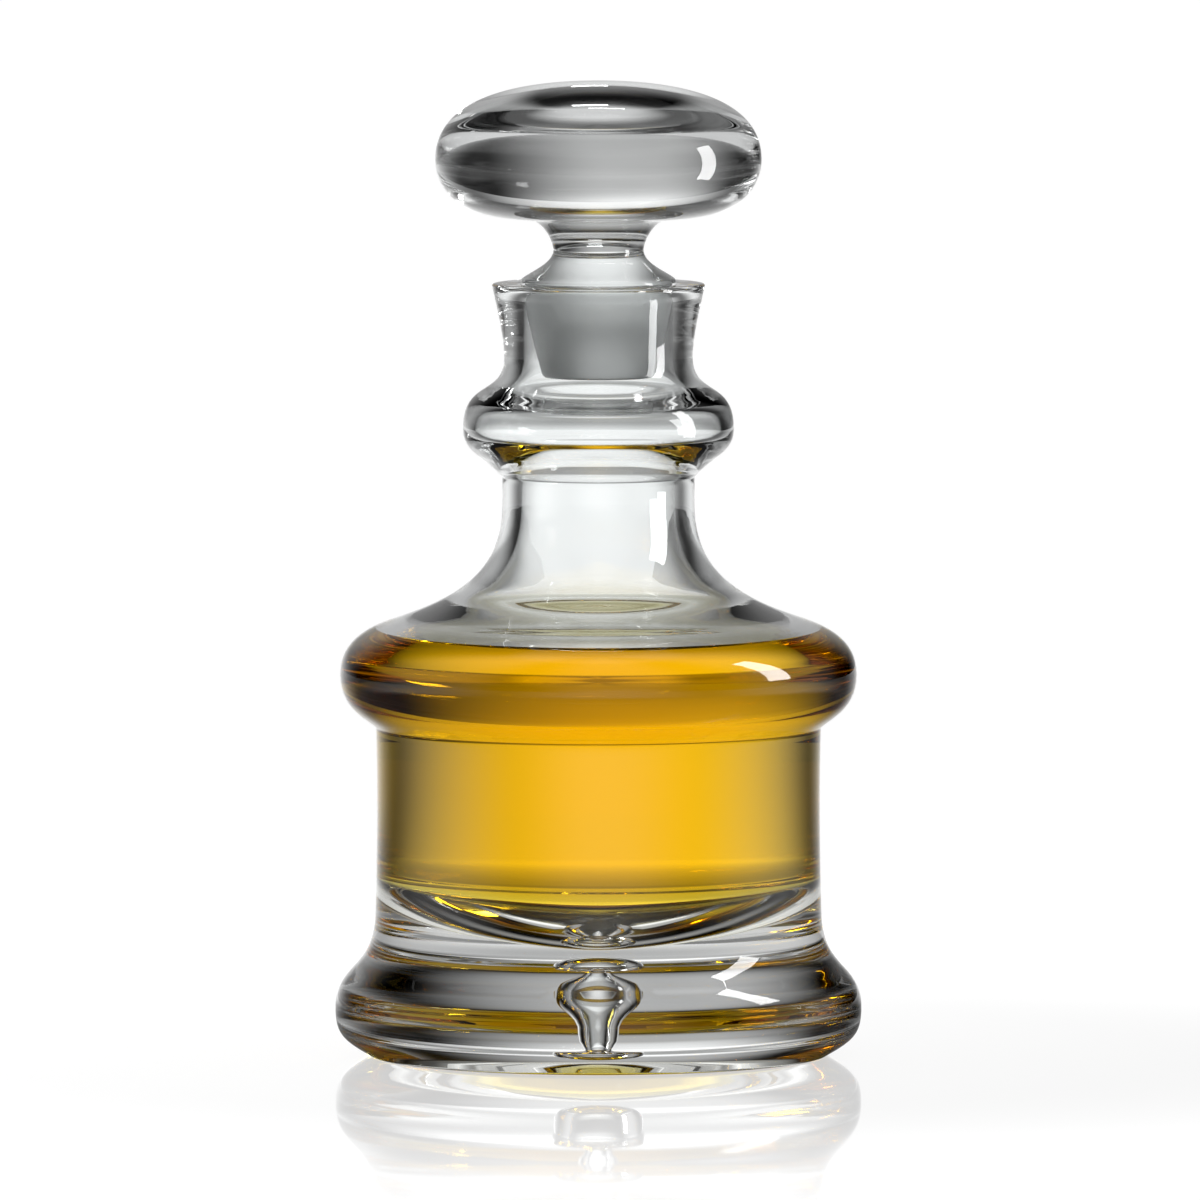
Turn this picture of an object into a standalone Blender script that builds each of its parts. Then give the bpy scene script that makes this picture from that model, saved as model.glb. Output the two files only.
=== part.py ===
"""Crystal decanter: a heavy blown vessel on a solid base, its one-piece stopper, and the spirit in it.

Metres, +Z up. The origin is the centre of the flat ring that the decanter stands on.
Every piece is round, so each one is a half outline turned about the Z axis.
An outline is built from stretches. Each stretch bends from one named place to the next.
"""
import math

import bpy
from mathutils import Vector

COLLECTION_NAME = "crystal_decanter"
VESSEL_NAME = "decanter_vessel"
STOPPER_NAME = "stopper"
SPIRIT_NAME = "spirit_fill"

# Fits
CLEARANCE = 0.0003        # between two pieces that touch on the real decanter
MERGE_DISTANCE = 0.00001  # closes the turned surfaces on their axis

# Vessel, outside, from the table up: heights are of one stretch each
BASE_RING_RADIUS = 0.0580      # outer edge of the ground flat underneath
FOOT_RADIUS = 0.0670           # widest line of the foot
FOOT_HEIGHT = 0.0120           # table to that line
FLARE_HEIGHT = 0.0255          # foot's widest line up to the upright wall
WALL_RADIUS = 0.0568           # upright wall just above the flare
WALL_HEIGHT = 0.0461           # upright wall up to the crease under the bulge
BODY_CREASE_RADIUS = 0.0567
BULGE_UNDER_HEIGHT = 0.0136    # crease up to the bulge's widest line
BULGE_RADIUS = 0.0658
BULGE_OVER_HEIGHT = 0.0144     # widest line up to where the shoulder turns hollow
SHOULDER_RADIUS = 0.0508
NECK_HEIGHT = 0.0358           # hollow shoulder and neck, up to the crease under the ring
NECK_RADIUS = 0.0245
RING_UNDER_HEIGHT = 0.0123     # crease up to the neck ring's widest line
RING_RADIUS = 0.0345
RING_OVER_HEIGHT = 0.0183      # widest line up to the collar's waist
COLLAR_RADIUS = 0.0240
COLLAR_HEIGHT = 0.0187         # waist up to the rim
RIM_RADIUS = 0.0271
RIM_BEVEL = 0.0004             # polished outer edge of the rim
MOUTH_BEVEL = 0.0010           # ground edge inside the mouth, which the stopper's flange sits in

# Vessel, inside
COLLAR_WALL = 0.0050           # glass between the collar's waist and the polished bore
RING_WALL = 0.0032
NECK_WALL = 0.0049
SHOULDER_WALL = 0.0032
BULGE_WALL = 0.0032
CREASE_WALL = 0.0046
BODY_WALL = 0.0051             # upright wall
BOWL_DEPTH = 0.0234            # rise of the bowl-shaped bottom to the upright wall

# Solid base, from the table up: bell-shaped hollow, its waist, the bubble over it, and glass over that
HOLLOW_MOUTH_RADIUS = 0.0078
WAIST_HEIGHT = 0.0115          # table up to the narrow waist
WAIST_RADIUS = 0.0022
BUBBLE_UNDER_HEIGHT = 0.0028   # waist up to the bubble's widest line
BUBBLE_RADIUS = 0.0078
BUBBLE_DOME_HEIGHT = 0.0064    # widest line up to the top of the dome
BUBBLE_COVER = 0.0034

# Stopper, from the rim up, and then the plug from the rim down
FLANGE_THICKNESS = 0.0006
STOPPER_SHOULDER_HEIGHT = 0.0076
STOPPER_NECK_RADIUS = 0.0115
STOPPER_NECK_HEIGHT = 0.0081
KNOB_FLAT_RADIUS = 0.0195      # flat underside of the knob
KNOB_UNDER_HEIGHT = 0.0150
KNOB_RADIUS = 0.0415
KNOB_OVER_HEIGHT = 0.0199
PLUG_LENGTH = 0.0253
PLUG_SEAT_LENGTH = 0.0040      # upper band that fits the bore
PLUG_TAPER = 0.0044            # radius that it loses below that band
PLUG_END_ROUND = 0.0018

# Spirit
ULLAGE_BELOW_SHOULDER = 0.0074  # level of the spirit under the start of the hollow shoulder

# Sizes that follow
BORE_RADIUS = COLLAR_RADIUS - COLLAR_WALL
PLUG_RADIUS = BORE_RADIUS - CLEARANCE
FLANGE_RADIUS = BORE_RADIUS + MOUTH_BEVEL - CLEARANCE
BOWL_RADIUS = WALL_RADIUS - BODY_WALL
BUBBLE_GIRTH_HEIGHT = WAIST_HEIGHT + BUBBLE_UNDER_HEIGHT
BUBBLE_TOP_HEIGHT = BUBBLE_GIRTH_HEIGHT + BUBBLE_DOME_HEIGHT
BASE_THICKNESS = BUBBLE_TOP_HEIGHT + BUBBLE_COVER

# Each stretch's share of its own chord that runs straight on at its start and at its end
COLLAR_SHARES = (0.05, 0.32)
RING_OVER_SHARES = (0.49, 0.61)
RING_UNDER_SHARES = (0.39, 0.47)
NECK_SHARES = (0.28, 0.675)
BULGE_OVER_SHARES = (0.31, 0.45)
BULGE_UNDER_SHARES = (0.55, 0.21)
WALL_SHARES = (0.33, 0.33)
BOWL_SHARES = (0.20, 0.12)
FLARE_SHARES = (0.60, 0.43)
FOOT_SHARES = (0.46, 0.53)
HOLLOW_SHARES = (0.45, 0.36)
BUBBLE_UNDER_SHARES = (0.25, 0.42)
DOME_SHARES = (0.40, 0.40)
KNOB_OVER_SHARES = (0.45, 0.34)
KNOB_UNDER_SHARES = (0.21, 0.69)
STOPPER_NECK_SHARES = (0.55, 0.09)
STOPPER_SHOULDER_SHARES = (0.34, 0.14)
PLUG_END_SHARES = (0.38, 0.38)

# Share of each stretch over which its wall stays as it starts, before it changes to the wall at the end
NO_STAY = 0
NECK_STAY = 0.4

# Directions of the outline in degrees: 0 is straight down, 90 is outward, -90 is inward, 180 is up
DOWN = 0
OUTWARD = 90
INWARD = -90
UPWARD = 180
RING_CREASE_TURN = -40
SHOULDER_TURN = 72
BODY_CREASE_TURN = -45
WALL_TOP_TURN = -2
WALL_FOOT_TURN = 1.5
FOOT_TURN = -60
MOUTH_TURN = 190
WAIST_TURN = 150
FLANGE_TURN = 25

# Points on each stretch, and facets round each piece
LONG_POINTS = 8
STRETCH_POINTS = 5
SHORT_POINTS = 3
FACETS = 40


def bend(start, end, turns, shares, count):
    """Points of one stretch, without its start: a cubic curve that leaves and arrives in the given turns."""
    start, end = Vector(start), Vector(end)
    chord = (end - start).length
    leave, arrive = (Vector((math.sin(math.radians(turn)), -math.cos(math.radians(turn)))) for turn in turns)
    first = start + leave * chord * shares[0]
    second = end - arrive * chord * shares[1]
    points = []
    for step in range(1, count + 1):
        t = step / count
        s = 1 - t
        point = start * s ** 3 + first * (3 * s * s * t) + second * (3 * s * t * t) + end * t ** 3
        points.append((point.x, point.y))
    return points


def moved_in(outline, depths):
    """The outline moved inward, each point by its own depth, square to the line through its neighbours."""
    moved = []
    last = len(outline) - 1
    for index, (radius, height) in enumerate(outline):
        before = Vector(outline[max(index - 1, 0)])
        after = Vector(outline[min(index + 1, last)])
        along = (after - before).normalized()
        moved.append((radius + along.y * depths[index], height - along.x * depths[index]))
    return moved


def vessel_heights():
    """Heights of the vessel's named lines above the table, found by stacking its stretches."""
    stack = (
        ("foot", FOOT_HEIGHT), ("wall_foot", FLARE_HEIGHT), ("body_crease", WALL_HEIGHT),
        ("bulge", BULGE_UNDER_HEIGHT), ("shoulder", BULGE_OVER_HEIGHT), ("neck", NECK_HEIGHT),
        ("ring", RING_UNDER_HEIGHT), ("collar", RING_OVER_HEIGHT), ("rim", COLLAR_HEIGHT),
    )
    heights = {}
    total = 0
    for name, rise in stack:
        total += rise
        heights[name] = total
    return heights


def hollow_stretches():
    """The stretches from the collar's waist down to the body crease, each with its stay and the wall at its end."""
    at = vessel_heights()
    return (
        ((RING_RADIUS, at["ring"]), (DOWN, DOWN), RING_OVER_SHARES, LONG_POINTS, NO_STAY, RING_WALL),
        ((NECK_RADIUS, at["neck"]), (DOWN, RING_CREASE_TURN), RING_UNDER_SHARES, STRETCH_POINTS, NO_STAY, NECK_WALL),
        ((SHOULDER_RADIUS, at["shoulder"]), (DOWN, SHOULDER_TURN), NECK_SHARES, LONG_POINTS, NECK_STAY,
         SHOULDER_WALL),
        ((BULGE_RADIUS, at["bulge"]), (SHOULDER_TURN, DOWN), BULGE_OVER_SHARES, STRETCH_POINTS, NO_STAY, BULGE_WALL),
        ((BODY_CREASE_RADIUS, at["body_crease"]), (DOWN, BODY_CREASE_TURN), BULGE_UNDER_SHARES,
         STRETCH_POINTS, NO_STAY, CREASE_WALL),
    )


def wall_change(share, stay):
    """How far the wall has changed at a share of its stretch: even, or eased in and out after a stay."""
    if not stay:
        return share
    eased = max(share - stay, 0) / (1 - stay)
    return eased * eased * (3 - 2 * eased)


def hollow_outlines():
    """Outer and inner outline from the collar's waist down to the body crease."""
    at = vessel_heights()
    outer = [(COLLAR_RADIUS, at["collar"])]
    walls = [COLLAR_WALL]
    for end, turns, shares, count, stay, wall in hollow_stretches():
        start_wall = walls[-1]
        outer += bend(outer[-1], end, turns, shares, count)
        changes = [wall_change(step / count, stay) for step in range(1, count + 1)]
        walls += [start_wall + (wall - start_wall) * change for change in changes]
    inner = moved_in(outer, walls)
    inner.append((BOWL_RADIUS, at["body_crease"]))
    return outer, inner


def bowl_outline(gap):
    """The bowl-shaped bottom from the axis out to the upright wall, kept a gap away from the glass."""
    middle = (0, BASE_THICKNESS)
    top = BASE_THICKNESS + BOWL_DEPTH
    points = [middle] + bend(middle, (BOWL_RADIUS, top), (OUTWARD, UPWARD), BOWL_SHARES, LONG_POINTS)
    points = moved_in(points, [-gap] * len(points))
    points[0] = (0, BASE_THICKNESS + gap)
    points[-1] = (BOWL_RADIUS - gap, top)
    return points


def foot_outline():
    """From the body crease down the wall, over the foot and in to the edge of the flat underneath."""
    at = vessel_heights()
    crease = (BODY_CREASE_RADIUS, at["body_crease"])
    wall_foot = (WALL_RADIUS, at["wall_foot"])
    foot = (FOOT_RADIUS, at["foot"])
    points = bend(crease, wall_foot, (WALL_TOP_TURN, WALL_FOOT_TURN), WALL_SHARES, SHORT_POINTS)
    points += bend(wall_foot, foot, (DOWN, DOWN), FLARE_SHARES, LONG_POINTS)
    points += bend(foot, (BASE_RING_RADIUS, 0), (DOWN, FOOT_TURN), FOOT_SHARES, STRETCH_POINTS)
    return points


def bubble_outline():
    """From the flat underneath up the bell-shaped hollow and its waist, to the top of the bubble's dome."""
    mouth = (HOLLOW_MOUTH_RADIUS, 0)
    waist = (WAIST_RADIUS, WAIST_HEIGHT)
    girth = (BUBBLE_RADIUS, BUBBLE_GIRTH_HEIGHT)
    top = (0, BUBBLE_TOP_HEIGHT)
    points = [mouth]
    points += bend(mouth, waist, (MOUTH_TURN, UPWARD), HOLLOW_SHARES, LONG_POINTS)
    points += bend(waist, girth, (WAIST_TURN, UPWARD), BUBBLE_UNDER_SHARES, STRETCH_POINTS)
    points += bend(girth, top, (UPWARD, INWARD), DOME_SHARES, STRETCH_POINTS)
    return points


def vessel_outline():
    """One line: up the inside from the axis, over the rim, down the outside and up into the bubble."""
    rim = vessel_heights()["rim"]
    outer, inner = hollow_outlines()
    points = bowl_outline(0) + inner[::-1]
    points += [(BORE_RADIUS, rim - MOUTH_BEVEL), (BORE_RADIUS + MOUTH_BEVEL, rim), (RIM_RADIUS - RIM_BEVEL, rim)]
    rim_edge = (RIM_RADIUS, rim - RIM_BEVEL)
    points.append(rim_edge)
    points += bend(rim_edge, outer[0], (DOWN, DOWN), COLLAR_SHARES, STRETCH_POINTS)
    points += outer[1:] + foot_outline() + bubble_outline()
    return points


def stopper_outline():
    """From the top of the knob down to the middle of the plug's end, heights from the rim."""
    flange_under = CLEARANCE
    flange_top = flange_under + FLANGE_THICKNESS
    neck = flange_top + STOPPER_SHOULDER_HEIGHT
    underside = neck + STOPPER_NECK_HEIGHT
    knob = underside + KNOB_UNDER_HEIGHT
    top = knob + KNOB_OVER_HEIGHT
    plug_end = flange_under - PLUG_LENGTH
    plug_end_radius = PLUG_RADIUS - PLUG_TAPER
    taper_length = PLUG_LENGTH - PLUG_SEAT_LENGTH - PLUG_END_ROUND
    taper_turn = -math.degrees(math.atan2(PLUG_TAPER, taper_length))

    points = [(0, top)]
    points += bend((0, top), (KNOB_RADIUS, knob), (OUTWARD, DOWN), KNOB_OVER_SHARES, LONG_POINTS)
    points += bend(points[-1], (KNOB_FLAT_RADIUS, underside), (DOWN, INWARD), KNOB_UNDER_SHARES, LONG_POINTS)
    points += bend(points[-1], (STOPPER_NECK_RADIUS, neck), (INWARD, DOWN), STOPPER_NECK_SHARES, STRETCH_POINTS)
    points += bend(points[-1], (FLANGE_RADIUS, flange_top), (DOWN, FLANGE_TURN), STOPPER_SHOULDER_SHARES,
                   STRETCH_POINTS)
    points += [(FLANGE_RADIUS, flange_under), (PLUG_RADIUS, flange_under)]
    points += [(PLUG_RADIUS, flange_under - PLUG_SEAT_LENGTH), (plug_end_radius, plug_end + PLUG_END_ROUND)]
    points += bend(points[-1], (plug_end_radius - PLUG_END_ROUND, plug_end), (taper_turn, INWARD),
                   PLUG_END_SHARES, SHORT_POINTS)
    points.append((0, plug_end))
    return points


def spirit_outline():
    """From the middle of the spirit's surface out to the glass, and down it to the middle of the bottom."""
    level = vessel_heights()["shoulder"] - ULLAGE_BELOW_SHOULDER
    _, glass = hollow_outlines()
    wetted = moved_in(glass, [CLEARANCE] * len(glass))
    below = [point for point in wetted if point[1] < level]
    lowest_dry = wetted[len(wetted) - len(below) - 1]
    highest_wet = below[0]
    share = (level - highest_wet[1]) / (lowest_dry[1] - highest_wet[1])
    edge = highest_wet[0] + (lowest_dry[0] - highest_wet[0]) * share
    return [(0, level), (edge, level)] + below + bowl_outline(CLEARANCE)[::-1]


def crystal_material(name):
    """Clear lead-free crystal, polished."""
    material = bpy.data.materials.new(name)
    material.use_nodes = True
    shader = material.node_tree.nodes["Principled BSDF"]
    shader.inputs["Base Color"].default_value = (0.96, 0.98, 0.97, 1)
    shader.inputs["Roughness"].default_value = 0.02
    shader.inputs["IOR"].default_value = 1.52
    shader.inputs["Transmission Weight"].default_value = 1
    return material


def spirit_material(name):
    """Amber spirit."""
    material = bpy.data.materials.new(name)
    material.use_nodes = True
    shader = material.node_tree.nodes["Principled BSDF"]
    shader.inputs["Base Color"].default_value = (0.95, 0.60, 0.10, 1)
    shader.inputs["Roughness"].default_value = 0
    shader.inputs["IOR"].default_value = 1.36
    shader.inputs["Transmission Weight"].default_value = 1
    return material


def turned(name, outline, material, collection, parent, height):
    """An object whose half outline a Screw modifier turns once about the object's own Z axis."""
    mesh = bpy.data.meshes.new(name)
    points = [(radius, 0, z) for radius, z in outline]
    edges = [(index, index + 1) for index in range(len(points) - 1)]
    mesh.from_pydata(points, edges, [])
    mesh.materials.append(material)
    piece = bpy.data.objects.new(name, mesh)
    piece.parent = parent
    piece.location.z = height
    collection.objects.link(piece)

    screw = piece.modifiers.new("turn", "SCREW")
    screw.axis = "Z"
    screw.angle = math.radians(360)
    screw.steps = FACETS
    screw.render_steps = FACETS
    screw.use_merge_vertices = True
    screw.merge_threshold = MERGE_DISTANCE
    screw.use_smooth_shade = True
    return piece


def main():
    for old in list(bpy.data.objects):
        bpy.data.objects.remove(old, do_unlink=True)
    collection = bpy.data.collections.new(COLLECTION_NAME)
    bpy.context.scene.collection.children.link(collection)
    stand = bpy.data.objects.new("decanter_stand", None)
    collection.objects.link(stand)

    rim = vessel_heights()["rim"]
    turned(VESSEL_NAME, vessel_outline(), crystal_material("vessel_crystal"), collection, stand, 0)
    turned(STOPPER_NAME, stopper_outline(), crystal_material("stopper_crystal"), collection, stand, rim)
    turned(SPIRIT_NAME, spirit_outline(), spirit_material("amber_spirit"), collection, stand, 0)


main()
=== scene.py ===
# %% [markdown]
# # Dressing a crystal decanter
#
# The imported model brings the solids, their bodies and the joint of the stopper.
# This script gives the two pieces of glass and the spirit finely turned surfaces, real optics
# and a small photo studio, and leaves every size as the model has it.
# Read it from top to bottom: shapes first, then materials, then the studio and the camera.

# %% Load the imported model
import math

import bpy
import numpy as np
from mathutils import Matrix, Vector


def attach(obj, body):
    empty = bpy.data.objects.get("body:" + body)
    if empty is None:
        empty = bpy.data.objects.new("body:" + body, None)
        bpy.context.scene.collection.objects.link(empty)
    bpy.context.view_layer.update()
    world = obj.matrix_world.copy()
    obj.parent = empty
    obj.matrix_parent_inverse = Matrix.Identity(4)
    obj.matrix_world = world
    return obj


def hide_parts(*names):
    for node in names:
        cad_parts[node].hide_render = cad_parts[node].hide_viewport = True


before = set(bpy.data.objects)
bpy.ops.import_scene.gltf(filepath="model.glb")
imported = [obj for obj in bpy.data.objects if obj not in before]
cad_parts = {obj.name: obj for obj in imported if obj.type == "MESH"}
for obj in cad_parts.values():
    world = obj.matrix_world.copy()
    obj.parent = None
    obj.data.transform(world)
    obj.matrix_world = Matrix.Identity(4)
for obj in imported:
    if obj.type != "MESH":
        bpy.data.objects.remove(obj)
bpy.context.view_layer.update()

# %% [markdown]
# ## Sizes
#
# All lengths are in metres and repeat the model's own. A place on the outline is a pair:
# distance from the axis, and height above the table. Heights are stacked from the foot up, and only
# the rises from each height to the next are listed in millimetres.

# %% Sizes of the vessel
MM = 0.001
CLEARANCE = 0.3 * MM

# radii of the outline from the table up
BASE_RING_RADIUS = 58.0 * MM
FOOT_RADIUS = 67.0 * MM
WALL_RADIUS = 56.8 * MM
CREASE_RADIUS = 56.7 * MM
BULGE_RADIUS = 65.8 * MM
SHOULDER_RADIUS = 50.8 * MM
NECK_RADIUS = 24.5 * MM
RING_RADIUS = 34.5 * MM
COLLAR_RADIUS = 24.0 * MM
RIM_RADIUS = 27.1 * MM
RIM_BEVEL = 0.4 * MM
MOUTH_BEVEL = 1.0 * MM

# walls from the collar down
COLLAR_WALL = 5.0 * MM
RING_WALL = 3.2 * MM
NECK_WALL = 4.9 * MM
SHOULDER_WALL = 3.2 * MM
BULGE_WALL = 3.2 * MM
CREASE_WALL = 4.6 * MM
BODY_WALL = 5.1 * MM
BOWL_DEPTH = 23.4 * MM

BORE_RADIUS = COLLAR_RADIUS - COLLAR_WALL
BOWL_RADIUS = WALL_RADIUS - BODY_WALL

RISES = {"foot": 12.0, "wall_foot": 25.5, "crease": 46.1, "bulge": 13.6, "shoulder": 14.4,
         "neck": 35.8, "ring": 12.3, "collar": 18.3, "rim": 18.7}
HEIGHT = dict(zip(RISES, np.cumsum(list(RISES.values())) * MM))
print("rim at %.1f mm" % (HEIGHT["rim"] / MM))

# %% [markdown]
# ### Base, stopper and spirit
#
# The base holds air twice: a bell-shaped hollow that is open underneath, and a flattened bubble over
# its narrow waist. The stopper is stacked on the rim with a hair of clearance, and the level of the
# spirit is measured down from the shoulder. A changed size of the vessel then moves all of them.

# %% Sizes of the base, the stopper and the spirit
HOLLOW_MOUTH_RADIUS = 7.8 * MM
WAIST_RADIUS = 2.2 * MM
WAIST_HEIGHT = 11.5 * MM
BUBBLE_RADIUS = 7.8 * MM
BUBBLE_UNDER_HEIGHT = 2.8 * MM
BUBBLE_DOME_HEIGHT = 6.4 * MM
BUBBLE_COVER = 3.4 * MM

BUBBLE_GIRTH_HEIGHT = WAIST_HEIGHT + BUBBLE_UNDER_HEIGHT
BUBBLE_TOP_HEIGHT = BUBBLE_GIRTH_HEIGHT + BUBBLE_DOME_HEIGHT
BASE_THICKNESS = BUBBLE_TOP_HEIGHT + BUBBLE_COVER

FLANGE_UNDER = HEIGHT["rim"] + CLEARANCE
FLANGE_TOP = FLANGE_UNDER + 0.6 * MM
FLANGE_EASE = 0.25 * MM
STOPPER_NECK_HEIGHT = FLANGE_TOP + 7.6 * MM
KNOB_UNDERSIDE = STOPPER_NECK_HEIGHT + 8.1 * MM
KNOB_GIRTH = KNOB_UNDERSIDE + 15.0 * MM
KNOB_TOP = KNOB_GIRTH + 19.9 * MM
FLANGE_RADIUS = BORE_RADIUS + MOUTH_BEVEL - CLEARANCE
STOPPER_NECK_RADIUS = 11.5 * MM
KNOB_FLAT_RADIUS = 19.5 * MM
KNOB_RADIUS = 41.5 * MM
PLUG_RADIUS = BORE_RADIUS - CLEARANCE
PLUG_SEAT = FLANGE_UNDER - 4.0 * MM
PLUG_SEAT_EASE = 2 * MM
PLUG_END = FLANGE_UNDER - 25.3 * MM
PLUG_END_RADIUS = PLUG_RADIUS - 4.4 * MM
PLUG_END_ROUND = 1.8 * MM

LEVEL = HEIGHT["shoulder"] - 7.4 * MM
MENISCUS_RISE = 2.2 * MM
MENISCUS_REACH = 1.5 * MM
WET_LINE = LEVEL + MENISCUS_RISE
OVERLAP = 0.08 * MM
print("spirit level at %.1f mm, base %.1f mm thick" % (LEVEL / MM, BASE_THICKNESS / MM))

# %% [markdown]
# ## Drawing outlines
#
# A blown and turned piece is known by its half outline. It could be traced point by point, but such
# a line wobbles, and glass shows each wobble as a streak. So every stretch between two creases is one
# cubic curve, which leaves one place in a given direction and arrives at the next in another.
# Directions are turns from straight down: 90 is outward and -90 is inward.

# %% Helpers that draw outlines
DOWN, OUTWARD, INWARD, UPWARD = 0, 90, -90, 180
SAME_PLACE = 1e-7


def towards(turn):
    """Unit step in the direction of a turn, as (outward, up)."""
    return np.array([math.sin(math.radians(turn)), -math.cos(math.radians(turn))])


def stretch(start, end, turns, shares, count=60):
    """Cubic curve between two places. Its handles lie a share of the chord along both turns."""
    start, end = np.array(start, float), np.array(end, float)
    chord = np.linalg.norm(end - start)
    first = start + towards(turns[0]) * chord * shares[0]
    second = end - towards(turns[1]) * chord * shares[1]
    t = np.linspace(0, 1, count)[:, None]
    s = 1 - t
    return s ** 3 * start + 3 * s * s * t * first + 3 * s * t * t * second + t ** 3 * end


def joined(*lines):
    """The lines set end to end, without the points that repeat the one before them."""
    points = np.vstack([np.atleast_2d(line) for line in lines])
    step = np.linalg.norm(np.diff(points, axis=0), axis=1)
    return points[np.concatenate([[True], step > SAME_PLACE])]


def travelled(line):
    """Length of the line from its start to each of its points."""
    return np.concatenate([[0], np.cumsum(np.linalg.norm(np.diff(line, axis=0), axis=1))])


def at_lengths(line, lengths):
    """Places on the line at the given lengths from its start."""
    run = travelled(line)
    return np.stack([np.interp(lengths, run, line[:, 0]), np.interp(lengths, run, line[:, 1])], axis=1)


def eased(line, corner, reach, count=9):
    """The line with one corner rounded: a parabola replaces it within a reach on both sides."""
    run = travelled(line)
    at = run[np.argmin(np.linalg.norm(line - np.array(corner), axis=1))]
    low, high = max(at - reach, 0), min(at + reach, run[-1])
    before, middle, after = at_lengths(line, [low, at, high])
    t = np.linspace(0, 1, count)[:, None]
    arc = (1 - t) ** 2 * before + 2 * (1 - t) * t * middle + t * t * after
    return joined(line[run < low], arc, line[run > high])


def evened(line, count, turn_weight=12 * MM):
    """The line with count points, closer together where it bends.

    Each step costs its length plus the weight times the angle turned there, and all steps cost the same.
    """
    step = np.diff(line, axis=0)
    heading = np.unwrap(np.arctan2(step[:, 1], step[:, 0]))
    turn = np.abs(np.diff(heading)) * turn_weight / 2
    cost = np.linalg.norm(step, axis=1)
    cost[:-1] += turn
    cost[1:] += turn
    run = np.concatenate([[0], np.cumsum(cost)])
    places = np.linspace(0, run[-1], count)
    return np.stack([np.interp(places, run, line[:, 0]), np.interp(places, run, line[:, 1])], axis=1)


def moved_in(line, depth):
    """A downward line moved towards the axis, square to its own direction."""
    along = np.gradient(line, axis=0)
    along /= np.linalg.norm(along, axis=1)[:, None]
    depth = np.broadcast_to(depth, len(line))[:, None]
    return line + np.stack([along[:, 1], -along[:, 0]], axis=1) * depth


print("outline helpers ready")

# %% [markdown]
# ## The glass
#
# The hollow part is drawn from the outside, and its inside is the same line moved in by the wall.
# The wall changes evenly along most stretches. Under the neck, where the gaffer opened the shoulder,
# it stays thick for a while, then thins out, and a low ridge is left on the inside. That ridge and
# the thin shoulder shape how the spirit's surface is seen from the front.
# The bottom of the inside is a deep bowl with slack sides, whose dark arcs show low in the wall.

# %% Walls along the hollow part
NECK_STAY = 0.4
RIDGE_START, RIDGE_CREST = 0.70, 0.82
RIDGE = 0.4 * MM


def smooth_rise(value, low, high):
    """0 up to the low bound and 1 from the high one on, with an S curve between them."""
    t = np.clip((value - low) / (high - low), 0, 1)
    return t * t * (3 - 2 * t)


def even_wall(share, start, end):
    """Wall that changes evenly along its stretch."""
    return start + (end - start) * share


def neck_wall(share, start, end):
    """Wall that stays as it starts, then thins with an S curve and carries a low ridge on the way."""
    ridge = RIDGE * smooth_rise(share, RIDGE_START, RIDGE_CREST) * (1 - smooth_rise(share, RIDGE_CREST, 1))
    return start + (end - start) * smooth_rise(share, NECK_STAY, 1) + ridge


RING_CREASE_TURN, SHOULDER_TURN, BODY_CREASE_TURN = -40, 72, -45
# each stretch's end, its turns and handle shares, and the wall at its end with the law that leads there
HOLLOW_STRETCHES = (
    ((RING_RADIUS, HEIGHT["ring"]), (DOWN, DOWN), (0.49, 0.61), RING_WALL, even_wall),
    ((NECK_RADIUS, HEIGHT["neck"]), (DOWN, RING_CREASE_TURN), (0.39, 0.47), NECK_WALL, even_wall),
    ((SHOULDER_RADIUS, HEIGHT["shoulder"]), (DOWN, SHOULDER_TURN), (0.28, 0.675), SHOULDER_WALL, neck_wall),
    ((BULGE_RADIUS, HEIGHT["bulge"]), (SHOULDER_TURN, DOWN), (0.31, 0.45), BULGE_WALL, even_wall),
    ((CREASE_RADIUS, HEIGHT["crease"]), (DOWN, BODY_CREASE_TURN), (0.55, 0.21), CREASE_WALL, even_wall),
)
print("walls along", len(HOLLOW_STRETCHES), "stretches")

# %% Outside and inside of the hollow part
INNER_EASE = 3 * MM
WALL_TOP_DROP = 1.0 * MM
INNER_CREASE_RISE = 1.5 * MM
LEAST_DROP = 1e-6
BOWL_SHARES = (0.20, 0.12)


def hollow_lines():
    """Outer and inner line of the hollow part, from the collar's waist down to the upright wall.

    The inner line is the outer one moved in by the wall, less the points that would turn back upwards,
    with its two hard corners eased.
    """
    outer = [np.array([[COLLAR_RADIUS, HEIGHT["collar"]]])]
    walls = [np.array([COLLAR_WALL])]
    for end, turns, shares, wall, law in HOLLOW_STRETCHES:
        points = stretch(outer[-1][-1], end, turns, shares)[1:]
        walls.append(law(np.linspace(0, 1, len(points) + 1)[1:], walls[-1][-1], wall))
        outer.append(points)
    outer = np.vstack(outer)
    inner = moved_in(outer, np.concatenate(walls))
    lowest = np.minimum.accumulate(np.concatenate([[np.inf], inner[:-1, 1]]))
    inner = inner[inner[:, 1] < lowest - LEAST_DROP]
    wall_top = (BOWL_RADIUS, HEIGHT["crease"] - WALL_TOP_DROP)
    inner = eased(joined(inner, [wall_top]), wall_top, INNER_EASE)
    inner_crease = inner[np.argmin(np.abs(inner[:, 1] - (HEIGHT["neck"] + INNER_CREASE_RISE)))]
    return outer, eased(inner, inner_crease, INNER_EASE)


def bowl_line():
    """Bowl-shaped bottom of the hollow, from the axis out to the upright wall."""
    middle = (0, BASE_THICKNESS)
    rim = (BOWL_RADIUS, BASE_THICKNESS + BOWL_DEPTH)
    return stretch(middle, rim, (OUTWARD, UPWARD), BOWL_SHARES)


def inside_line():
    """The whole inside from the middle of the bottom up to the collar's waist."""
    return joined(bowl_line(), hollow_lines()[1][::-1])


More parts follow.
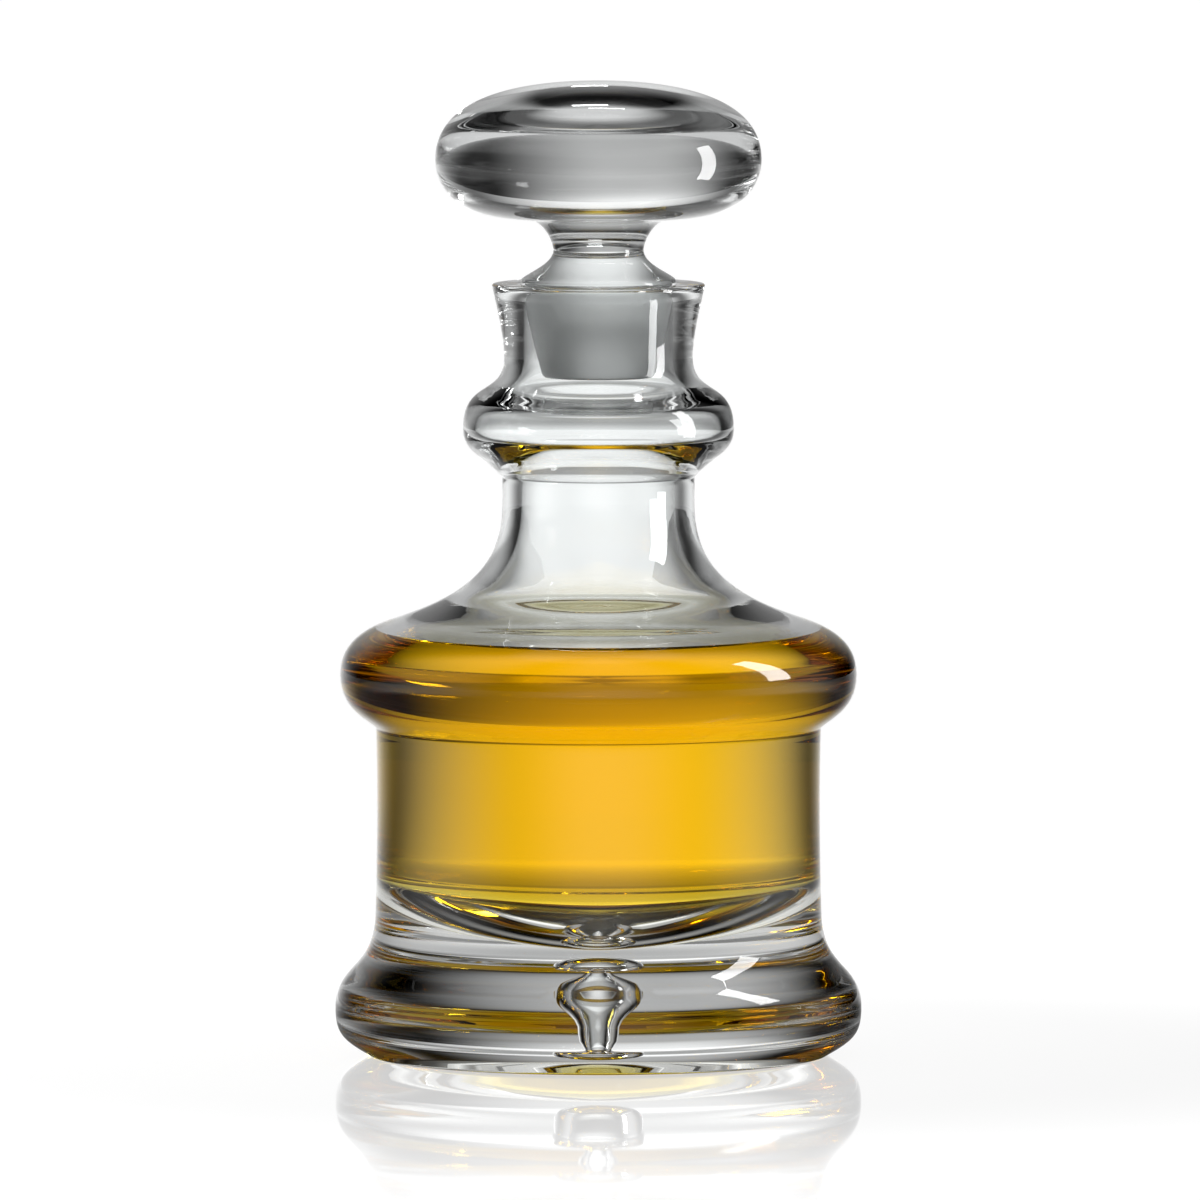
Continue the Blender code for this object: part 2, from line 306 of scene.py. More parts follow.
def split_at_height(line, height):
    """A rising line cut in two at a height, which both halves then hold."""
    after = np.argmax(line[:, 1] > height)
    share = (height - line[after - 1, 1]) / (line[after, 1] - line[after - 1, 1])
    cut = line[after - 1] + (line[after] - line[after - 1]) * share
    return joined(line[:after], cut), joined(cut, line[after:])


outer, inner = hollow_lines()
print("hollow: %d outer and %d inner points" % (len(outer), len(inner)))

# %% [markdown]
# ## Rim, foot and base hollow
#
# The vessel is one closed body: up the inside, over the flat rim, down the outside, across the flat
# that it stands on, and up the hollow of the base to the top of the bubble. The thick foot is a lens
# that turns what is inside it upside down, so the hollow can't be copied from how it looks. Its shape
# comes from rays followed back through the foot. Edges are eased a little, as polished glass is.

# %% Outlines of the vessel and its bubble
EDGE_EASE = 0.5 * MM
# turns, handle shares and numbers of points of the stretches
MOUTH_TURN, WAIST_TURN, FOOT_TURN = 190, 150, -60
WALL_TURNS = (-2, 1.5)
MOUTH_SHARES, BUBBLE_UNDER_SHARES, BUBBLE_DOME_SHARES = (0.45, 0.36), (0.25, 0.42), (0.40, 0.40)
COLLAR_SHARES, WALL_SHARES = (0.05, 0.32), (0.33, 0.33)
SPREAD_SHARES, FOOT_SHARES = (0.60, 0.43), (0.46, 0.53)
WET_POINTS, DRY_POINTS, OUTSIDE_POINTS = 80, 60, 200


def bubble_line():
    """Hollow of the base from its mouth underneath, in to the waist and round the bubble to its top."""
    mouth = (HOLLOW_MOUTH_RADIUS, 0)
    waist = (WAIST_RADIUS, WAIST_HEIGHT)
    girth = (BUBBLE_RADIUS, BUBBLE_GIRTH_HEIGHT)
    return joined(stretch(mouth, waist, (MOUTH_TURN, UPWARD), MOUTH_SHARES),
                  stretch(waist, girth, (WAIST_TURN, UPWARD), BUBBLE_UNDER_SHARES),
                  stretch(girth, (0, BUBBLE_TOP_HEIGHT), (UPWARD, INWARD), BUBBLE_DOME_SHARES))


def vessel_outline():
    """Wetted inside, dry inside with the bore, and outside down to the base and up to the bubble's top."""
    wet, dry = split_at_height(inside_line(), WET_LINE)
    rim = HEIGHT["rim"]
    dry = joined(dry, [(BORE_RADIUS, rim - MOUTH_BEVEL)])
    rim_edge = (RIM_RADIUS, rim - RIM_BEVEL)
    crease = (CREASE_RADIUS, HEIGHT["crease"])
    wall_foot = (WALL_RADIUS, HEIGHT["wall_foot"])
    foot = (FOOT_RADIUS, HEIGHT["foot"])
    outside = joined(
        [(BORE_RADIUS, rim - MOUTH_BEVEL), (BORE_RADIUS + MOUTH_BEVEL, rim), (RIM_RADIUS - RIM_BEVEL, rim)],
        stretch(rim_edge, outer[0], (DOWN, DOWN), COLLAR_SHARES),
        outer,
        stretch(crease, wall_foot, WALL_TURNS, WALL_SHARES),
        stretch(wall_foot, foot, (DOWN, DOWN), SPREAD_SHARES),
        stretch(foot, (BASE_RING_RADIUS, 0), (DOWN, FOOT_TURN), FOOT_SHARES),
        bubble_line())
    for corner in (crease, (NECK_RADIUS, HEIGHT["neck"]), (BASE_RING_RADIUS, 0), (HOLLOW_MOUTH_RADIUS, 0)):
        outside = eased(outside, corner, EDGE_EASE)
    return evened(wet, WET_POINTS), evened(dry, DRY_POINTS), evened(outside, OUTSIDE_POINTS)


print("vessel outline:", [len(part) for part in vessel_outline()], "points")

# %% [markdown]
# ## Stopper and spirit
#
# The stopper is one solid turning: flattened knob, waist, a thin flange over the mouth, and the ground
# plug. The spirit is a body of its own. It could share the inner faces of the glass, but a body that
# reaches a hair into the glass needs no matching faces, and the light still meets glass, spirit and
# air in the right order. Its surface climbs at the glass, as every liquid's does.

# %% Outlines of the stopper and the spirit
# turns, handle shares and numbers of points of the stretches
FLANGE_TURN, PLUG_TURN = 25, -13
KNOB_TOP_SHARES, KNOB_UNDER_SHARES = (0.45, 0.34), (0.21, 0.69)
WAIST_SHARES, FLANGE_SHARES, PLUG_END_SHARES = (0.55, 0.09), (0.34, 0.14), (0.38, 0.38)
POLISHED_POINTS, GROUND_POINTS = 150, 50
SURFACE_STEPS, SURFACE_POINTS, BODY_POINTS = 60, 50, 90


def stopper_outline():
    """Polished knob, waist and shoulder with the flange, and then the ground plug, from the top down."""
    flange = (FLANGE_RADIUS, FLANGE_TOP)
    knob = (KNOB_RADIUS, KNOB_GIRTH)
    knob_flat = (KNOB_FLAT_RADIUS, KNOB_UNDERSIDE)
    waist = (STOPPER_NECK_RADIUS, STOPPER_NECK_HEIGHT)
    polished = joined(
        stretch((0, KNOB_TOP), knob, (OUTWARD, DOWN), KNOB_TOP_SHARES),
        stretch(knob, knob_flat, (DOWN, INWARD), KNOB_UNDER_SHARES),
        stretch(knob_flat, waist, (INWARD, DOWN), WAIST_SHARES),
        stretch(waist, flange, (DOWN, FLANGE_TURN), FLANGE_SHARES),
        [(FLANGE_RADIUS, FLANGE_UNDER), (PLUG_RADIUS, FLANGE_UNDER)])
    polished = eased(polished, flange, FLANGE_EASE)
    side = (PLUG_END_RADIUS, PLUG_END + PLUG_END_ROUND)
    end_flat = (PLUG_END_RADIUS - PLUG_END_ROUND, PLUG_END)
    ground = joined(
        [(PLUG_RADIUS, FLANGE_UNDER), (PLUG_RADIUS, PLUG_SEAT)],
        stretch(side, end_flat, (PLUG_TURN, INWARD), PLUG_END_SHARES),
        [(0, PLUG_END)])
    ground = eased(ground, (PLUG_RADIUS, PLUG_SEAT), PLUG_SEAT_EASE)
    return evened(polished, POLISHED_POINTS), evened(ground, GROUND_POINTS)


def spirit_outline():
    """Free surface with its meniscus, and then the body down the glass to the middle of the bottom.

    The surface climbs towards the glass as an exponential of the distance from it. The body reaches
    a hair into the glass, which has no optical effect, because its sides don't bend light.
    """
    wet, _ = split_at_height(inside_line(), WET_LINE)
    body = moved_in(wet[::-1], -OVERLAP)
    body[-1, 0] = 0
    edge = body[0]
    radius = edge[0] * np.sin(np.linspace(0, math.pi / 2, SURFACE_STEPS))
    rise = (edge[1] - LEVEL) * np.exp((radius - edge[0]) / MENISCUS_REACH)
    surface = np.stack([radius, LEVEL + rise], axis=1)
    return evened(surface, SURFACE_POINTS), evened(body, BODY_POINTS)


for name, outline in (("stopper", stopper_outline()), ("spirit", spirit_outline())):
    print(name, "outline:", [len(part) for part in outline], "points")

# %% [markdown]
# ## Turning the outlines
#
# Every piece is a lathe turning: each point of the outline becomes a ring of vertices, and the ends on
# the axis become single points, so each mesh is closed. A Screw modifier could turn the outline too,
# but here each part of it also carries a number, kept on its faces, that the materials read: wetted
# glass, ground glass, or the free surface of the spirit.

# %% Turn outlines into meshes
AROUND = 288


def turned(parts, marks):
    """Vertices, quads, triangles and face marks of one closed turning.

    Point (r, z) becomes the ring (r cos a, r sin a, z) for evenly spaced angles a.
    """
    line = joined(*parts)
    ends = np.cumsum([len(part) - 1 for part in parts])
    ring_marks = np.zeros(len(line) - 1)
    for mark, end, part in zip(marks, ends, parts):
        ring_marks[end - len(part) + 1:end] = mark
    rings = line[1:-1]
    angle = np.linspace(0, 2 * math.pi, AROUND, endpoint=False)
    height = np.broadcast_to(rings[:, 1:], (len(rings), AROUND))
    coords = np.stack([rings[:, :1] * np.cos(angle), rings[:, :1] * np.sin(angle), height], axis=-1)
    coords = coords.reshape(-1, 3)
    number = np.arange(len(rings) * AROUND).reshape(len(rings), AROUND)
    beside = np.roll(number, -1, axis=1)
    quads = np.stack([number[:-1], number[1:], beside[1:], beside[:-1]], axis=-1).reshape(-1, 4)
    start, end = len(coords), len(coords) + 1
    coords = np.vstack([coords, [0, 0, line[0, 1]], [0, 0, line[-1, 1]]])
    first_fan = np.stack([np.full(AROUND, start), number[0], beside[0]], axis=-1)
    last_fan = np.stack([np.full(AROUND, end), beside[-1], number[-1]], axis=-1)
    face_marks = np.concatenate([np.repeat(ring_marks[1:-1], AROUND), np.full(AROUND, ring_marks[0]),
                                 np.full(AROUND, ring_marks[-1])])
    return coords, quads, np.vstack([first_fan, last_fan]), face_marks


def glass_object(name, turnings, mark_name):
    """One smooth mesh object from several closed turnings, with its marks kept on the faces."""
    coords, corners, sizes, marks = [], [], [], []
    offset = 0
    for points, quads, triangles, face_marks in turnings:
        coords.append(points)
        corners += [(quads + offset).ravel(), (triangles + offset).ravel()]
        sizes += [np.full(len(quads), 4), np.full(len(triangles), 3)]
        marks.append(face_marks)
        offset += len(points)
    coords, corners, sizes = np.vstack(coords), np.concatenate(corners), np.concatenate(sizes)
    mesh = bpy.data.meshes.new(name)
    mesh.vertices.add(len(coords))
    mesh.vertices.foreach_set("co", coords.ravel())
    mesh.loops.add(len(corners))
    mesh.loops.foreach_set("vertex_index", corners)
    mesh.polygons.add(len(sizes))
    mesh.polygons.foreach_set("loop_start", np.concatenate([[0], np.cumsum(sizes)[:-1]]))
    mesh.update(calc_edges=True)
    mesh.shade_smooth()
    mark = mesh.attributes.new(mark_name, "FLOAT", "FACE")
    mark.data.foreach_set("value", np.concatenate(marks))
    mesh.validate()
    piece = bpy.data.objects.new(name, mesh)
    bpy.context.scene.collection.objects.link(piece)
    print("%s: %d faces, %d marked" % (name, len(sizes), int(np.concatenate(marks).sum())))
    return piece


vessel = glass_object("vessel_glass", [turned(vessel_outline(), (1, 0, 0))], "wetted")
stopper = glass_object("stopper_glass", [turned(stopper_outline(), (0, 1))], "ground")
spirit = glass_object("spirit_body", [turned(spirit_outline(), (1, 0))], "free_surface")

# %% [markdown]
# ## Materials
#
# Glass bends light by its index of refraction. Where spirit wets the glass, the step between the
# two is smaller, so the wetted faces take the ratio of both indices, and the spirit's own
# sides bend nothing. Only its free surface has the full index. Absorption gives the amber.

# %% Helpers for node trees
GLASS_INDEX = 1.52
SPIRIT_INDEX = 1.36
WHITE = (1, 1, 1, 1)


def new_material(name):
    """A material with an empty node tree but for its Principled BSDF and its output."""
    material = bpy.data.materials.new(name)
    material.use_nodes = True
    return material, material.node_tree, material.node_tree.nodes["Principled BSDF"]


def add(tree, kind, **settings):
    """A new node with its properties and, for names that are no property, its input values."""
    node = tree.nodes.new(kind)
    for key, value in settings.items():
        if hasattr(node, key):
            setattr(node, key, value)
        else:
            node.inputs[key.replace("_", " ")].default_value = value
    return node


def ramp_of(tree, source, low, high, low_value, high_value):
    """Socket that runs from one value to another as the source runs from low to high."""
    node = add(tree, "ShaderNodeMapRange", interpolation_type="SMOOTHSTEP")
    for socket, value in zip(node.inputs[1:5], (low, high, low_value, high_value)):
        socket.default_value = value
    tree.links.new(source, node.inputs[0])
    return node.outputs[0]


def marked_value(tree, mark_name, plain, marked):
    """Socket with one value on plain faces and another on marked ones."""
    mark = add(tree, "ShaderNodeAttribute", attribute_name=mark_name)
    node = add(tree, "ShaderNodeMapRange")
    for socket, value in zip(node.inputs[1:5], (0, 1, plain, marked)):
        socket.default_value = value
    tree.links.new(mark.outputs["Fac"], node.inputs[0])
    return node.outputs[0]


def math_node(tree, operation, first, second):
    """Socket of a two-input math node whose inputs are sockets or numbers."""
    node = add(tree, "ShaderNodeMath", operation=operation)
    for socket, value in zip(node.inputs, (first, second)):
        if isinstance(value, (int, float)):
            socket.default_value = value
        else:
            tree.links.new(value, socket)
    return node.outputs[0]


def product(tree, first, *others):
    """Socket of several values multiplied together."""
    for other in others:
        first = math_node(tree, "MULTIPLY", first, other)
    return first


def noise_of(tree, scale, detail, squash=(1, 1, 1)):
    """Noise over the object's own space, stretched by a scale on each axis."""
    place = add(tree, "ShaderNodeTexCoord")
    mapping = add(tree, "ShaderNodeMapping")
    mapping.inputs["Scale"].default_value = squash
    tree.links.new(place.outputs["Object"], mapping.inputs["Vector"])
    noise = add(tree, "ShaderNodeTexNoise", Scale=scale, Detail=detail)
    tree.links.new(mapping.outputs[0], noise.inputs["Vector"])
    return noise.outputs["Fac"]


print("node helpers ready")

# %% [markdown]
# ## Crystal, polished and ground
#
# The real glass is clear with a faint cool tint, and its skin lies in slight waves from the making.
# One flat tint would look like film, so it drifts over the piece, and a very low bump bends the
# highlights. The plug is ground, which scatters light: the same glass with a rough, finely uneven skin.

# %% Crystal
TINT_LOW = (0.948, 0.968, 0.966, 1)
TINT_HIGH = (0.974, 0.986, 0.985, 1)
WAVE_DEPTH = 0.4 * MM
WAVE_SQUASH = (1, 1, 2.2)
VESSEL_WAVES, STOPPER_WAVES = 0.10, 0.08
# scale and detail of each noise, and the middle span of its values that is used
TINT_NOISE, WAVE_NOISE, GROUND_NOISE = (22, 2), (26, 1), (900, 3)
NOISE_SPAN = (0.3, 0.7)
GROUND_ROUGHNESS = (0.34, 0.48)


def crystal(name, waviness):
    """Polished crystal with a faint tint that drifts, and the slight waviness of hot-worked glass."""
    material, tree, shader = new_material(name)
    shader.inputs["Transmission Weight"].default_value = 1
    shader.inputs["IOR"].default_value = GLASS_INDEX
    tint = add(tree, "ShaderNodeMix", data_type="RGBA")
    tint.inputs["A"].default_value = TINT_LOW
    tint.inputs["B"].default_value = TINT_HIGH
    tree.links.new(noise_of(tree, *TINT_NOISE), tint.inputs["Factor"])
    tree.links.new(tint.outputs["Result"], shader.inputs["Base Color"])
    bump = add(tree, "ShaderNodeBump", Strength=waviness, Distance=WAVE_DEPTH)
    tree.links.new(noise_of(tree, *WAVE_NOISE, WAVE_SQUASH), bump.inputs["Height"])
    tree.links.new(bump.outputs[0], shader.inputs["Normal"])
    return material, tree, shader


vessel_crystal, tree, shader = crystal("vessel_crystal", VESSEL_WAVES)
shader.inputs["Roughness"].default_value = 0.0
tree.links.new(marked_value(tree, "wetted", GLASS_INDEX, GLASS_INDEX / SPIRIT_INDEX), shader.inputs["IOR"])
vessel.data.materials.append(vessel_crystal)

stopper_crystal, tree, shader = crystal("stopper_crystal", STOPPER_WAVES)
grain = ramp_of(tree, noise_of(tree, *GROUND_NOISE), *NOISE_SPAN, *GROUND_ROUGHNESS)
tree.links.new(product(tree, grain, marked_value(tree, "ground", 0, 1)), shader.inputs["Roughness"])
stopper.data.materials.append(stopper_crystal)
print("crystal:", vessel_crystal.name, stopper_crystal.name)

# %% [markdown]
# ## Amber
#
# An amber surface would be equally dark everywhere. Real spirit is pale at a thin edge and deep where
# much of it lies in the line of sight, and absorption in the volume gives just that: blue is lost
# first, then green, and red hardly at all.

# %% Spirit
ABSORPTION = 60.0
AMBER = (0.995, 0.888, 0.06, 1)

amber_spirit, tree, shader = new_material("amber_spirit")
shader.inputs["Base Color"].default_value = WHITE
shader.inputs["Roughness"].default_value = 0
shader.inputs["Transmission Weight"].default_value = 1
shader.inputs["IOR"].default_value = SPIRIT_INDEX
tree.links.new(marked_value(tree, "free_surface", 1, SPIRIT_INDEX), shader.inputs["IOR"])
absorption = add(tree, "ShaderNodeVolumeAbsorption", Density=ABSORPTION)
absorption.inputs["Color"].default_value = AMBER
tree.links.new(absorption.outputs[0], tree.nodes["Material Output"].inputs["Volume"])
spirit.data.materials.append(amber_spirit)
print("spirit:", amber_spirit.name)

# %% [markdown]
# ## Bodies
#
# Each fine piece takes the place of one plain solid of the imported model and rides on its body, so the
# stopper still lifts out along its joint, and the spirit stays in the vessel.

# %% Put the pieces on their bodies
for piece, body, node, slot in ((vessel, "decanter", "decanter_vessel", "vessel_crystal"),
                                (stopper, "stopper", "stopper", "stopper_crystal"),
                                (spirit, "decanter", "spirit_fill", "amber_spirit")):
    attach(piece, body)
    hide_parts(node)
    print(piece.name, "rides on", body, "and replaces", node)

# %% [markdown]
# ## The studio
#
# Clear glass has no look of its own: it shows its surroundings, so the studio is what paints it.
# A light tent stands round the decanter, with four lit walls and dark corners between them. The dark
# corners draw the dark edges of the glass. A strip lamp stands at the right and a small one overhead.
# The studio stands still when the camera moves, and places in it are told by bearing and elevation.

# %% Helpers that place light in the studio
def studio_places(tree):
    """Sockets of the bearing from straight behind, the distance from the axis and the elevation.

    Bearing and elevation are arc tangents in degrees, of sideways over backwards and of up over distance.
    """
    place = add(tree, "ShaderNodeTexCoord")
    axes = add(tree, "ShaderNodeSeparateXYZ")
    tree.links.new(place.outputs["Object"], axes.inputs[0])
    side, behind, up = axes.outputs
    bearing = product(tree, math_node(tree, "ARCTAN2", side, behind), 180 / math.pi)
    squares = math_node(tree, "ADD", product(tree, side, side), product(tree, behind, behind))
    distance = math_node(tree, "SQRT", squares, 0)
    elevation = product(tree, math_node(tree, "ARCTAN2", up, distance), 180 / math.pi)
    return bearing, distance, elevation


def away_from(tree, bearing, centre, turn):
    """Socket of the distance in degrees to the centre, or to the nearest of its copies one turn apart."""
    node = add(tree, "ShaderNodeMath", operation="WRAP")
    tree.links.new(math_node(tree, "SUBTRACT", bearing, centre), node.inputs[0])
    node.inputs[1].default_value, node.inputs[2].default_value = turn / 2, -turn / 2
    return math_node(tree, "ABSOLUTE", node.outputs[0], 0)


# bearings in degrees: the middles of the back and of the sheet, the back's end and the front's start
BACK_BEARING, SHEET_BEARING = -8, -4
BACK_REACH, FRONT_REACH = (40, 50), (130, 140)
SIDE_SHARE, FRONT_SHARE = 0.72, 0.60


def at_back(tree, bearing):
    """Socket that is 1 at the back wall and 0 at the others."""
    return ramp_of(tree, away_from(tree, bearing, BACK_BEARING, 360), *BACK_REACH, 1, 0)


def by_other_wall(tree, bearing):
    """Socket of a wall's share of light: none at the back, and the sides' and the front's own."""
    from_back = away_from(tree, bearing, BACK_BEARING, 360)
    return product(tree, ramp_of(tree, from_back, *BACK_REACH, 0, SIDE_SHARE),
                   ramp_of(tree, from_back, *FRONT_REACH, 1, FRONT_SHARE / SIDE_SHARE))


print("the back wall's middle lies at a bearing of", BACK_BEARING)

# %% [markdown]
# ### Floor
#
# The decanter stands on a glossy white sheet, drawn with a dark grey colour of its own. To the camera a
# painted glow lifts it nearly white, and that glow is painted lower round the foot, a painted shade where the
# real mirror image also lies. The glass sees another painted glow: a bright sheet at the back, with a painted
# pool of light right behind the foot, that fills the spirit from behind.

# %% Floor
FLOOR_RADIUS = 14.0
AIR_GAP = 0.15 * MM
# each reach is a pair of distances from the axis in metres, between which a value changes
GLOSS, GLOSS_REACH = 0.24, (0.14, 0.42)
# glow of painted light that only the camera sees, painted lower near the foot as painted shade
PAINTED_GLOW_NEAR, PAINTED_GLOW_FAR = 0.58, 0.90
# glow of painted light that only the glass sees: a bright sheet at the back and far out by the other walls
SHEET_NEAR, SHEET_FAR = 0.20, 1.0
SHEET_EDGE = (4, 46)
BEHIND_REACH, AROUND_REACH = (0.12, 0.30), (0.40, 0.60)
# level and reach of a painted pool of light right behind the foot
POOL, POOL_REACH = 0.45, (0.09, 0.13)
FLOOR_GREY = (0.20, 0.20, 0.20, 1)
FLOOR_NOISE = (9, 3)
FLOOR_ROUGHNESS = (0.02, 0.04)


def disc_mesh(name, radius, height, count=96):
    """A flat round sheet at a height z. Its corners are (r cos a, r sin a, z) for evenly spaced angles a."""
    angle = np.linspace(0, 2 * math.pi, count, endpoint=False)
    coords = np.stack([radius * np.cos(angle), radius * np.sin(angle), np.full(count, height)], axis=1)
    mesh = bpy.data.meshes.new(name)
    mesh.from_pydata(coords.tolist(), [], [list(range(count))])
    return mesh


floor = bpy.data.objects.new("floor", disc_mesh("floor", FLOOR_RADIUS, -AIR_GAP))
bpy.context.scene.collection.objects.link(floor)
floor_acrylic, tree, shader = new_material("floor_acrylic")
shader.inputs["Base Color"].default_value = FLOOR_GREY
uneven = ramp_of(tree, noise_of(tree, *FLOOR_NOISE), *NOISE_SPAN, *FLOOR_ROUGHNESS)
tree.links.new(uneven, shader.inputs["Roughness"])
bearing, distance, _ = studio_places(tree)
tree.links.new(ramp_of(tree, distance, *GLOSS_REACH, GLOSS, 0), shader.inputs["Specular IOR Level"])
path = add(tree, "ShaderNodeLightPath")
# the camera sees a painted glow that lifts the grey sheet to white, painted lower round the foot as painted
# shade
painted_camera_glow = product(tree, path.outputs["Is Camera Ray"],
                    ramp_of(tree, distance, *GLOSS_REACH, PAINTED_GLOW_NEAR, PAINTED_GLOW_FAR))
in_glass = math_node(tree, "MAXIMUM", path.outputs["Is Glossy Ray"], path.outputs["Is Transmission Ray"])
# painted light seen only in the glass: a pool of light right behind the foot, a bright sheet at the back, and
# a fainter one far out by the other walls
painted_light_pool = ramp_of(tree, distance, *POOL_REACH, POOL, 0)
behind = product(tree, at_back(tree, bearing),
                 math_node(tree, "ADD", ramp_of(tree, distance, *BEHIND_REACH, SHEET_NEAR, SHEET_FAR), painted_light_pool))
around = product(tree, by_other_wall(tree, bearing), ramp_of(tree, distance, *AROUND_REACH, 0, SHEET_FAR))
painted_glass_glow = product(tree, in_glass, ramp_of(tree, away_from(tree, bearing, SHEET_BEARING, 90), *SHEET_EDGE, 1, 0),
                math_node(tree, "ADD", behind, around))
shader.inputs["Emission Color"].default_value = WHITE
tree.links.new(math_node(tree, "ADD", painted_camera_glow, painted_glass_glow), shader.inputs["Emission Strength"])
floor.data.materials.append(floor_acrylic)
print("floor laid")

# %% [markdown]
# ### Tent
#
# Four flat panels would do, but a round tent whose cloth glows by bearing and elevation has no seams,
# and its four walls get soft edges. The back wall is brightest at the horizon and fades above. The
# others brighten towards the top, and the top glows faintly. Only reflected and refracted rays see it.

# %% Tent of cloth round the set
TENT_RADIUS = 3.0
# elevations and widths in degrees; each band is a pair of elevations, between which a value changes
TENT_FOOT, TENT_CROWN = -1, 89.5
WALL_EDGE = (2, 38)
NARROWING, NARROWING_BAND = 6, (4, 12)
BACK_LEVEL, BACK_HORIZON = 0.46, 0.97
HORIZON_BAND, BACK_FADE = (1, 9), (20, 40)
SIDE_HIGH, SIDE_BAND = 1.4, (25, 62)
TOP_GLOW, TOP_BAND = 0.42, (67, 76)


def tent_mesh(name, radius, rows=48, around=144):
    """Upper part of a sphere, from just under the floor to near the zenith.

    The place at elevation e and bearing b is (cos e sin b, cos e cos b, sin e) times the radius.
    """
    rise = np.linspace(math.radians(TENT_FOOT), math.radians(TENT_CROWN), rows)[:, None]
    angle = np.linspace(0, 2 * math.pi, around, endpoint=False)[None, :]
    coords = np.stack([np.cos(rise) * np.sin(angle), np.cos(rise) * np.cos(angle), np.sin(rise) + 0 * angle],
                      axis=-1)
    number = np.arange(rows * around).reshape(rows, around)
    beside = np.roll(number, -1, axis=1)
    quads = np.stack([number[:-1], number[1:], beside[1:], beside[:-1]], axis=-1).reshape(-1, 4)
    mesh = bpy.data.meshes.new(name)
    mesh.from_pydata((coords.reshape(-1, 3) * radius).tolist(), [], quads.tolist())
    mesh.shade_smooth()
    return mesh


tent = bpy.data.objects.new("tent", tent_mesh("tent", TENT_RADIUS))
bpy.context.scene.collection.objects.link(tent)
tent.visible_camera = False
tent.visible_diffuse = False
tent.visible_shadow = False

tent_cloth = bpy.data.materials.new("tent_cloth")
tent_cloth.use_nodes = True
tree = tent_cloth.node_tree
tree.nodes.clear()
bearing, _, elevation = studio_places(tree)
away = math_node(tree, "SUBTRACT", away_from(tree, bearing, BACK_BEARING, 90),
                 ramp_of(tree, elevation, *NARROWING_BAND, 0, NARROWING))
walls = product(tree, ramp_of(tree, away, *WALL_EDGE, 1, 0),
                ramp_of(tree, elevation, *HORIZON_BAND, BACK_HORIZON, BACK_LEVEL))
back = product(tree, walls, at_back(tree, bearing), ramp_of(tree, elevation, *BACK_FADE, 1, 0))
sides = product(tree, walls, by_other_wall(tree, bearing), ramp_of(tree, elevation, *SIDE_BAND, 1, SIDE_HIGH))
top = ramp_of(tree, elevation, *TOP_BAND, 0, TOP_GLOW)
level = math_node(tree, "ADD", math_node(tree, "ADD", top, back), sides)
glow = add(tree, "ShaderNodeEmission")
tree.links.new(level, glow.inputs["Strength"])
surface = add(tree, "ShaderNodeOutputMaterial")
tree.links.new(glow.outputs[0], surface.inputs["Surface"])
tent.data.materials.append(tent_cloth)
print("tent hung at %.1f m" % TENT_RADIUS)

# %% [markdown]
# ### Lamps
#
# The photograph shows a tall narrow highlight at the right of every form, and a short dash on top of
# the knob. Spots painted on the glass would look wrong from every other side, so two lamps make them.

# %% Lamps
STRIP_PLACE, STRIP_SIZE, STRIP_POWER = (0.235, -0.048, 0.228), (0.052, 0.205), 0.42
OVERHEAD_PLACE, OVERHEAD_SIZE, OVERHEAD_POWER = (0.012, 0.140, 0.494), (0.050, 0.010), 0.014
OVERHEAD_AIM = (0, -0.020, 0.241)


def softbox(name, place, towards_place, size, power):
    """A rectangular lamp at one place that faces another, seen in the glass but not by the camera."""
    lamp = bpy.data.lights.new(name, "AREA")
    lamp.shape = "RECTANGLE"
    lamp.size, lamp.size_y = size
    lamp.energy = power
    stand = bpy.data.objects.new(name, lamp)
    bpy.context.scene.collection.objects.link(stand)
    place, towards_place = Vector(place), Vector(towards_place)
    stand.location = place
    stand.rotation_euler = (towards_place - place).to_track_quat("-Z", "Y").to_euler()
    stand.visible_camera = False
    stand.visible_diffuse = False
    return stand


strip = softbox("strip_lamp", STRIP_PLACE, (0, *STRIP_PLACE[1:]), STRIP_SIZE, STRIP_POWER)
overhead = softbox("overhead_lamp", OVERHEAD_PLACE, OVERHEAD_AIM, OVERHEAD_SIZE, OVERHEAD_POWER)
print("lamps:", strip.name, overhead.name)

# %% [markdown]
# ### World
#
# The photograph's background is pure white. A world that bright would wash out every shade, so it is
# white only where it is seen, and lights the set at about half of that.

# %% World
ROOM_LEVEL = 0.55

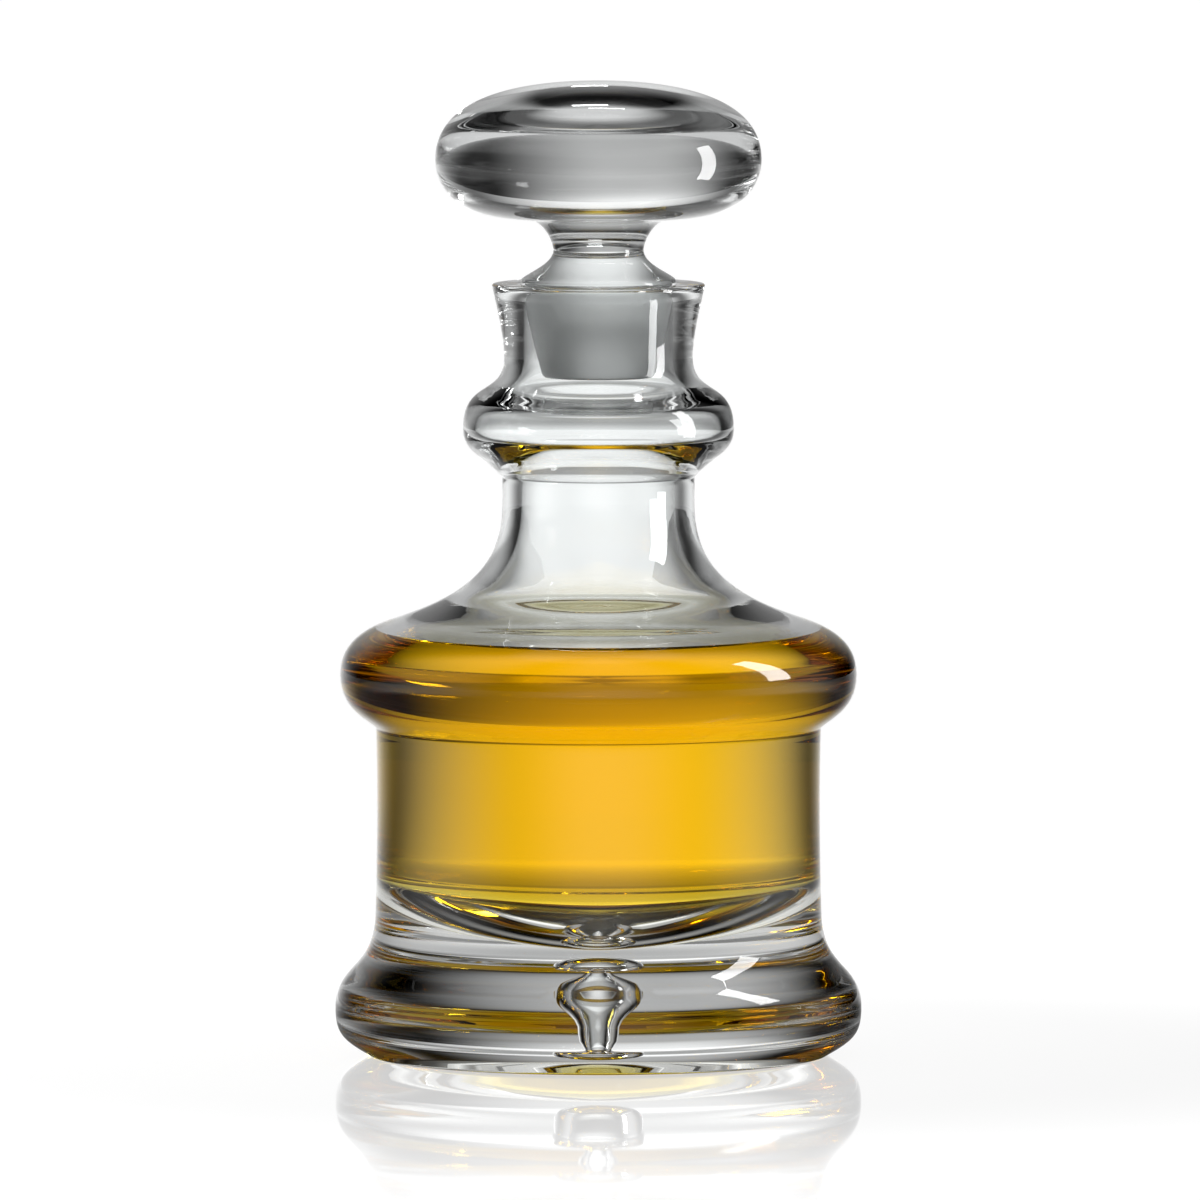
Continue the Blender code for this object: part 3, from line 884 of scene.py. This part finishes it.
world = bpy.data.worlds.new("studio")
bpy.context.scene.world = world
world.use_nodes = True
tree = world.node_tree
background = tree.nodes["Background"]
path = add(tree, "ShaderNodeLightPath")
in_glass = math_node(tree, "MAXIMUM", path.outputs["Is Glossy Ray"], path.outputs["Is Transmission Ray"])
seen = math_node(tree, "MAXIMUM", path.outputs["Is Camera Ray"], in_glass)
level = math_node(tree, "ADD", product(tree, seen, 1 - ROOM_LEVEL), ROOM_LEVEL)
tree.links.new(level, background.inputs["Strength"])
background.inputs["Color"].default_value = WHITE
print("world: white where it is seen, %.2f where it lights" % ROOM_LEVEL)

# %% [markdown]
# ## Camera
#
# A long lens from far away, a little above the table, as the photograph shows it. The frame's width
# at the decanter sets the focal length, so the picture keeps its scale at any distance.

# %% Camera
CAMERA_DISTANCE = 6.0
CAMERA_RISE = math.radians(4.2)
FRAME_WIDTH = 0.3053
SENSOR_WIDTH = 36
CLIP_START, CLIP_END = 0.1, 60
AIM = np.array([0.0004, 0, 0.116])

camera_data = bpy.data.cameras.new("camera")
camera_data.sensor_width = SENSOR_WIDTH
camera_data.lens = SENSOR_WIDTH * CAMERA_DISTANCE / FRAME_WIDTH
camera_data.clip_start, camera_data.clip_end = CLIP_START, CLIP_END
camera = bpy.data.objects.new("camera", camera_data)
bpy.context.scene.collection.objects.link(camera)
camera.location = AIM + CAMERA_DISTANCE * np.array([0, -math.cos(CAMERA_RISE), math.sin(CAMERA_RISE)])
camera.rotation_euler = (math.radians(90) - CAMERA_RISE, 0, 0)
bpy.context.scene.camera = camera
print("lens %.0f mm at %.1f m" % (camera_data.lens, CAMERA_DISTANCE))

# %% [markdown]
# ## Settings
#
# A ray through vessel, spirit and base crosses many faces, so it may bounce often before it is dropped.

# %% Render settings that belong to the scene
BOUNCES, GLOSSY_BOUNCES = 32, 12

scene = bpy.context.scene
scene.view_settings.view_transform = "Standard"
scene.cycles.max_bounces = BOUNCES
scene.cycles.transmission_bounces = BOUNCES
scene.cycles.glossy_bounces = GLOSSY_BOUNCES
print("light may bounce", BOUNCES, "times")

# %% Finish
print("scene dressed")
